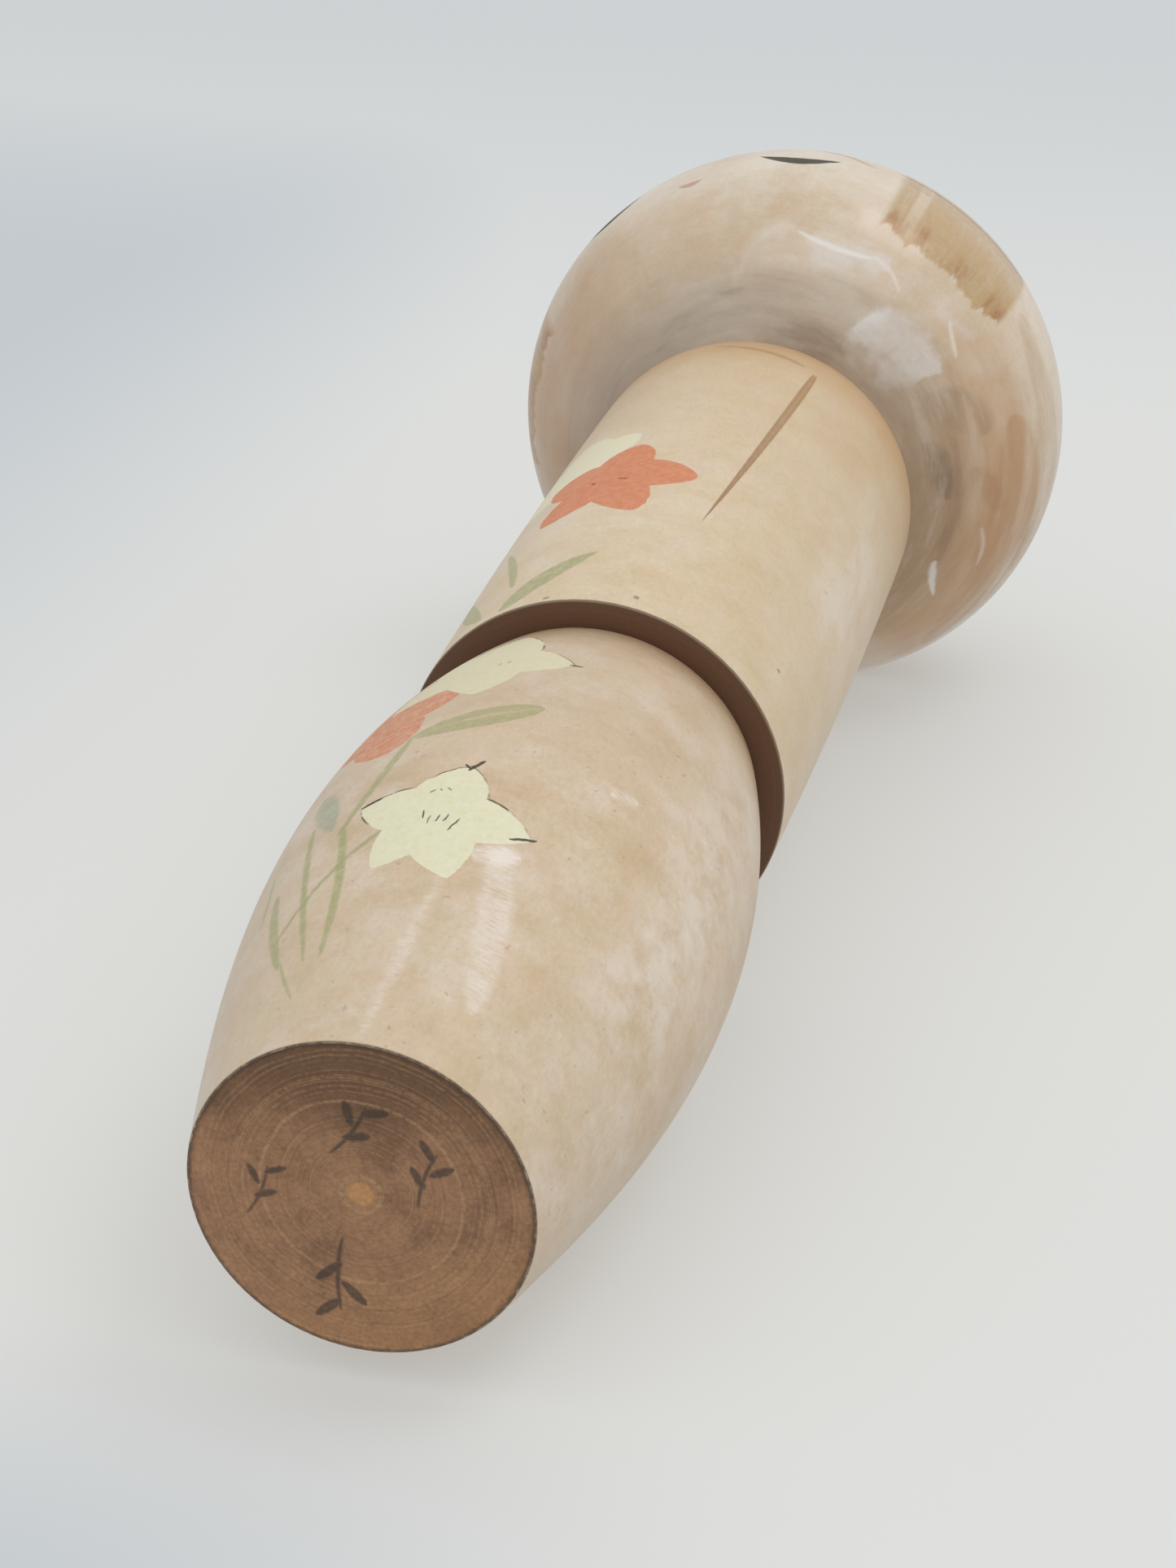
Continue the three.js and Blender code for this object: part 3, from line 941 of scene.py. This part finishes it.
def head_piece(scene):
    """The ball. At an angle above or below its widest line, radius and height are powers of
    the cosine and sine."""
    sizes, colours = scene.kokeshi_sizes, scene.kokeshi_colours
    power = 2 / sizes.head_fullness
    seat = math.asin(
        ((sizes.head_equator - SEAT_HEIGHT) / sizes.head_depth) ** (sizes.head_fullness / 2)
    )
    below = np.linspace(-seat, 0, 80)
    above = np.radians(np.linspace(0, 90, 100))[1:]
    angle = np.concatenate([below, above])
    reach = np.where(angle < 0, sizes.head_depth, CROWN_HEIGHT - sizes.head_equator)
    radius = HEAD_RADIUS * np.maximum(np.cos(angle), 0) ** power
    height = np.sign(angle) * reach * np.abs(np.sin(angle)) ** power
    outline = np.column_stack([radius, sizes.head_equator + height])
    outline[-1, 0] = 0
    socket = PEG_RADIUS + SOCKET_GAP
    roof = PEG_TOP + SOCKET_GAP
    profile = joined(
        hole(socket, SEAT_HEIGHT, roof)[::-1],
        line((socket, SEAT_HEIGHT), outline[0], 6),
        outline,
    )
    piece = turned("head_ball", profile, steps_round(sizes.turns))
    finishes = [head_finish(colours), bpy.data.materials[BARE]]

    def choose(radius, height):
        """Bare wood on the seat and in the socket, paintwork elsewhere."""
        inner = (radius < socket * WALL_SLACK) & (height < roof + SKIN)
        return np.where(inner | (height < SEAT_HEIGHT + SKIN), 1, 0)

    finish_faces(piece, finishes, choose)
    in_place(piece, "head", "head")


FLUTE_DEPTH = 0.25 * MM
PEG_STEPS = 192


def peg_piece(name, radius, bottom, top, flutes):
    """A round peg with quarter-round ends. A flute's depth on its side is FLUTE_DEPTH times
    (1 - cos(flutes * t)) / 2 to the fourth power, so narrow glue flutes run along it."""
    edge = 1 * MM
    profile = joined(
        line((0, bottom), (radius - edge, bottom), 4),
        arc((radius - edge, bottom + edge), edge, -90, 0, 6),
        line((radius, bottom + edge), (radius, top - edge), 24),
        arc((radius - edge, top - edge), edge, 0, 90, 6),
        line((radius - edge, top), (0, top), 4),
    )

    def fluted(turn, height, ring_radius):
        wave = (1 - np.cos(flutes * turn)) / 2
        return FLUTE_DEPTH * wave**4 * (ring_radius > radius - edge)

    return turned(name, profile, steps_round(PEG_STEPS), fluted if flutes else None)


# ---------------------------------------------------------------- stage

CAMERA_PLACE = Vector((0.1862, -0.1681, -0.3259))
CAMERA_FORWARD = Vector((-0.3696, 0.3328, 0.8675))
CAMERA_UP = Vector((0.239, -0.8682, 0.4349))
CAMERA_LENS = 80.07  # mm, on a 36 mm long side
SKYWARDS = Vector((0.381, -0.921, 0.088))  # away from the surface that the doll lies on
BRIGHT_SIDE = Vector((0.632, -0.77, 0.084))  # where the room is brightest, seen from the doll
LYING_DROP = 25.5 * MM  # from the axis at the base down to that surface
STANDING_DROP = 0.2 * MM
FLOOR_RADIUS = 2.4
ROOM_DIM = (0.5, 0.495, 0.485)
ROOM_BRIGHT = (0.91, 0.91, 0.91)
WINDOW_PLACE = Vector((0.706, -0.648, 0.287))  # towards the window, seen from the doll
WINDOW_DISTANCE = 1.3
WINDOW_SIZE = 0.5
WINDOW_POWER = 1.9
WINDOW_TINT = (1.0, 0.99, 0.97)


def pale_material(name, falloff_shade):
    """Matt pale floor that fades out far away and isn't seen from behind. falloff_shade is the
    strength of the painted shade, a bluish grey, on its far and left sides and near corner."""
    material = bpy.data.materials.new(name)
    material.use_nodes = True
    tree = material.node_tree
    tree.nodes.clear()
    start = Wire(tree)
    place = start.add("ShaderNodeTexCoord", output="Object")
    x = start.add("ShaderNodeSeparateXYZ", inputs={0: place})
    y, z = x.also(1), x.also(2)
    leftwards = x * -0.924 + y * -0.382
    # Painted shade: the floor turns bluish grey on its left and far sides and in the near corner, where
    # the light falls off.
    left = leftwards.rise(0.08, 0.24) * z.rise(0.95, 0.5)
    near = z.rise(0.01, -0.06) * leftwards.rise(-0.07, 0.04)
    far = z.rise(0.25, 1.0) * 0.6
    speckle = start.add("ShaderNodeTexNoise", inputs={"Scale": 9.0, "Detail": 3.0})
    tint = mixed("E0E1DF", "E3E4E2", speckle)
    tint = mixed(tint, "BDC6CE", left.most(near).most(far) * falloff_shade)
    cloth = start.add("ShaderNodeBsdfDiffuse", inputs={"Color": tint})
    glow = start.add("ShaderNodeEmission", inputs={"Color": tint})
    matt = start.add("ShaderNodeMixShader", inputs={0: 0.4, 1: cloth, 2: glow})
    clear = start.add("ShaderNodeBsdfTransparent")
    reach = start.add("ShaderNodeVectorMath", {"operation": "LENGTH"}, {0: place}, "Value")
    behind = start.add("ShaderNodeNewGeometry", output="Backfacing")
    hidden = reach.rise(1.4, 2.3).most(behind)
    mixer = start.add("ShaderNodeMixShader", inputs={0: hidden, 1: matt, 2: clear})
    output = tree.nodes.new("ShaderNodeOutputMaterial")
    tree.links.new(mixer.socket, output.inputs[0])
    return material


def floor_disc(name, normal, drop, falloff_shade):
    """A disc of rings that lies a drop below the origin: point (i, j) is
    r_i (a cos t_j + b sin t_j), where a and b span the floor."""
    a = normal.orthogonal().normalized()
    b = normal.cross(a)
    reach = np.linspace(0.02, 1, 24) * FLOOR_RADIUS
    turn = np.linspace(0, 2 * math.pi, 72, endpoint=False)
    r, t = np.meshgrid(reach, turn, indexing="ij")
    points = np.array(a)[None] * (r * np.cos(t)).reshape(-1, 1)
    points = points + np.array(b)[None] * (r * np.sin(t)).reshape(-1, 1)
    index = np.arange(r.size).reshape(r.shape)
    after = np.roll(index, -1, axis=1)
    quads = np.stack([index[:-1], index[1:], after[1:], after[:-1]], axis=-1).reshape(-1, 4)
    disc = shown(name, points, quads.tolist() + [index[0].tolist()])
    disc.location = normal * -drop
    disc.data.materials.append(pale_material(name + "_matt", falloff_shade))
    disc.visible_diffuse = False
    disc.visible_glossy = False
    disc.visible_transmission = False
    disc.visible_shadow = False


def window_lamp():
    """A square area lamp that shines on the doll's foot end as a window does."""
    lamp = bpy.data.lights.new("window_lamp", "AREA")
    lamp.size = WINDOW_SIZE
    lamp.energy = WINDOW_POWER
    lamp.color = WINDOW_TINT
    holder = bpy.data.objects.new("window_lamp", lamp)
    away = WINDOW_PLACE.normalized()
    holder.location = Vector((0, 0, 0.02)) + away * WINDOW_DISTANCE
    holder.rotation_euler = away.to_track_quat("Z", "Y").to_euler()
    bpy.context.scene.collection.objects.link(holder)


def studio_world():
    """Pale room: an even backdrop for the camera, brighter above the lying doll for light."""
    world = bpy.data.worlds.new("studio")
    bpy.context.scene.world = world
    world.use_nodes = True
    tree = world.node_tree
    tree.nodes.clear()
    start = Wire(tree)
    heading = start.add("ShaderNodeTexCoord", output="Generated")
    inputs = {0: heading, 1: BRIGHT_SIDE}
    height = start.add("ShaderNodeVectorMath", {"operation": "DOT_PRODUCT"}, inputs, "Value")
    room = mixed(ROOM_DIM, ROOM_BRIGHT, height.rise(-0.85, 0.85))
    seen = start.add("ShaderNodeLightPath", output="Is Camera Ray")
    light = mixed(room, "D8DAD9", seen)
    background = start.add("ShaderNodeBackground", inputs={"Color": light, "Strength": 1.0})
    output = tree.nodes.new("ShaderNodeOutputWorld")
    tree.links.new(background.socket, output.inputs[0])


def place_camera():
    """A camera below the foot that looks up along the doll."""
    lens = bpy.data.cameras.new("camera")
    lens.lens = CAMERA_LENS
    lens.sensor_width = 36
    lens.clip_start = 0.01
    lens.clip_end = 50
    camera = bpy.data.objects.new("camera", lens)
    forward = CAMERA_FORWARD.normalized()
    right = forward.cross(CAMERA_UP).normalized()
    up = right.cross(forward)
    turn = Matrix((right, up, -forward)).transposed()
    camera.matrix_world = Matrix.Translation(CAMERA_PLACE) @ turn.to_4x4()
    bpy.context.scene.collection.objects.link(camera)
    bpy.context.scene.camera = camera


# ---------------------------------------------------------------- operators


class KOKESHI_OT_stage(bpy.types.Operator):
    """Camera, room, window lamp and the pale floors under the lying and the standing doll"""

    bl_idname = "kokeshi.stage"
    bl_label = "Stage"

    def execute(self, context):
        context.scene.view_settings.view_transform = "Standard"
        place_camera()
        studio_world()
        window_lamp()
        up = SKYWARDS.normalized()
        floor_disc("lying_floor", up, LYING_DROP, 0.75)
        floor_disc("standing_floor", Vector((0, 0, 1)), STANDING_DROP, 0.15)
        return {"FINISHED"}


class KOKESHI_OT_lower_body(bpy.types.Operator):
    """Barrel block with its foot face and flowers"""

    bl_idname = "kokeshi.lower_body"
    bl_label = "Lower body"

    def execute(self, context):
        lower_body_piece(context.scene)
        return {"FINISHED"}


class KOKESHI_OT_upper_body(bpy.types.Operator):
    """Upper block with its stained underside, gouge and flowers"""

    bl_idname = "kokeshi.upper_body"
    bl_label = "Upper body"

    def execute(self, context):
        upper_body_piece(context.scene)
        return {"FINISHED"}


class KOKESHI_OT_head(bpy.types.Operator):
    """Head with hair and face"""

    bl_idname = "kokeshi.head"
    bl_label = "Head"

    def execute(self, context):
        head_piece(context.scene)
        return {"FINISHED"}


class KOKESHI_OT_pegs(bpy.types.Operator):
    """Fluted waist dowel and smooth neck peg"""

    bl_idname = "kokeshi.pegs"
    bl_label = "Pegs"

    def execute(self, context):
        finish = bpy.data.materials[BARE]
        dowel = peg_piece("fluted_dowel", DOWEL_RADIUS, DOWEL_BOTTOM, DOWEL_TOP, 24)
        neck = peg_piece("turned_neck_peg", PEG_RADIUS, PEG_BOTTOM, PEG_TOP, 0)
        for piece in (dowel, neck):
            piece.data.materials.append(finish)
        in_place(dowel, "waist_dowel", "body")
        in_place(neck, "neck_peg", "head")
        return {"FINISHED"}


class KOKESHI_PT_panel(bpy.types.Panel):
    bl_label = "Kokeshi"
    bl_idname = "KOKESHI_PT_panel"
    bl_space_type = "VIEW_3D"
    bl_region_type = "UI"
    bl_category = "Kokeshi"

    def draw(self, context):
        layout = self.layout
        for step in STEPS:
            layout.operator(step.bl_idname)
        for group in (context.scene.kokeshi_sizes, context.scene.kokeshi_colours):
            box = layout.box()
            for name in group.__annotations__:
                box.prop(group, name)


STEPS = (
    KOKESHI_OT_stage,
    KOKESHI_OT_lower_body,
    KOKESHI_OT_upper_body,
    KOKESHI_OT_head,
    KOKESHI_OT_pegs,
)
GROUPS = (KokeshiSizes, KokeshiColours)


def register():
    for part in (*GROUPS, *STEPS, KOKESHI_PT_panel):
        bpy.utils.register_class(part)
    bpy.types.Scene.kokeshi_sizes = PointerProperty(type=KokeshiSizes)
    bpy.types.Scene.kokeshi_colours = PointerProperty(type=KokeshiColours)


def unregister():
    del bpy.types.Scene.kokeshi_colours
    del bpy.types.Scene.kokeshi_sizes
    for part in reversed((*GROUPS, *STEPS, KOKESHI_PT_panel)):
        bpy.utils.unregister_class(part)


def main():
    register()
    bpy.ops.kokeshi.stage()
    bpy.ops.kokeshi.lower_body()
    bpy.ops.kokeshi.upper_body()
    bpy.ops.kokeshi.head()
    bpy.ops.kokeshi.pegs()


if __name__ == "__main__":
    main()
